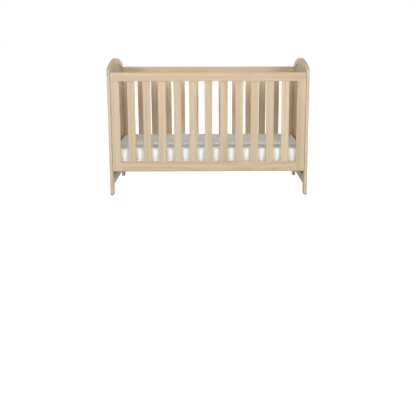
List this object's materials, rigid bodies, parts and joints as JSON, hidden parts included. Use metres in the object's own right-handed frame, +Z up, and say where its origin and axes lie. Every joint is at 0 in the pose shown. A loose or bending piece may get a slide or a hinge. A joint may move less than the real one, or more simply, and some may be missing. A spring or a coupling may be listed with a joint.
{
  "type": "baby crib",
  "caption": "Oak-effect cot with arched panel ends, slatted sides with a broad top rail, a slatted base with height settings, and a white mattress.",
  "frame": {"origin": "on the floor, under the middle of the cot", "axes": "+X along the cot, +Y from the front side to the rear side, +Z up"},
  "size_m": [1.456, 0.77, 0.992],
  "materials": {
    "oak_frame": "pale oak effect, satin lacquer, fine straight grain along each piece",
    "oak_slat": "pale oak effect, satin lacquer, fine vertical grain",
    "oak_panel": "pale oak effect panel, satin lacquer, vertical grain",
    "base_timber": "plain sanded pine, unfinished",
    "dowel_wood": "plain beech dowel",
    "zinc_steel": "bright zinc plating",
    "bracket_steel": "dull zinc plating",
    "glide_plastic": "matt off-white nylon",
    "mattress_fabric": "white woven cotton cover with piped edges",
    "mattress_foam": "open-cell foam"
  },
  "bodies": {
    "frame": {"left_end_front_leg": "oak_frame", "left_end_rear_leg": "oak_frame", "left_end_arch_rail": "oak_frame", "left_end_bottom_rail": "oak_frame", "left_end_panel": "oak_panel", "right_end_front_leg": "oak_frame", "right_end_rear_leg": "oak_frame", "right_end_arch_rail": "oak_frame", "right_end_bottom_rail": "oak_frame", "right_end_panel": "oak_panel", "front_side_top_rail": "oak_frame", "front_side_bottom_rail": "oak_frame", "front_side_left_stile": "oak_frame", "front_side_right_stile": "oak_frame", "front_side_slat_01": "oak_slat", "front_side_slat_02": "oak_slat", "front_side_slat_03": "oak_slat", "front_side_slat_04": "oak_slat", "front_side_slat_05": "oak_slat", "front_side_slat_06": "oak_slat", "front_side_slat_07": "oak_slat", "front_side_slat_08": "oak_slat", "front_side_slat_09": "oak_slat", "front_side_slat_10": "oak_slat", "front_side_slat_11": "oak_slat", "rear_side_top_rail": "oak_frame", "rear_side_bottom_rail": "oak_frame", "rear_side_left_stile": "oak_frame", "rear_side_right_stile": "oak_frame", "rear_side_slat_01": "oak_slat", "rear_side_slat_02": "oak_slat", "rear_side_slat_03": "oak_slat", "rear_side_slat_04": "oak_slat", "rear_side_slat_05": "oak_slat", "rear_side_slat_06": "oak_slat", "rear_side_slat_07": "oak_slat", "rear_side_slat_08": "oak_slat", "rear_side_slat_09": "oak_slat", "rear_side_slat_10": "oak_slat", "rear_side_slat_11": "oak_slat", "end_frame_dowels": "dowel_wood", "side_frame_dowels": "dowel_wood", "locating_dowels": "dowel_wood", "side_bolts": "zinc_steel", "barrel_nuts": "zinc_steel", "threaded_inserts": "zinc_steel", "bracket_screws": "zinc_steel", "base_brackets": "bracket_steel", "foot_glides": "glide_plastic"},
    "platform": {"base_left_rail": "base_timber", "base_right_rail": "base_timber", "base_front_rail": "base_timber", "base_rear_rail": "base_timber", "base_slats": "base_timber", "base_slat_screws": "zinc_steel", "base_frame_screws": "zinc_steel"},
    "mattress": {"mattress_cover": "mattress_fabric", "mattress_core": "mattress_foam"}
  },
  "joints": [
    {"name": "base_height", "type": "slide", "parent": "frame", "child": "platform", "axis": [0, 0, 1], "range_m": [0, 0.3]},
    {"name": "mattress_lift", "type": "slide", "parent": "platform", "child": "mattress", "axis": [0, 0, 1], "range_m": [0, 0.66]}
  ]
}
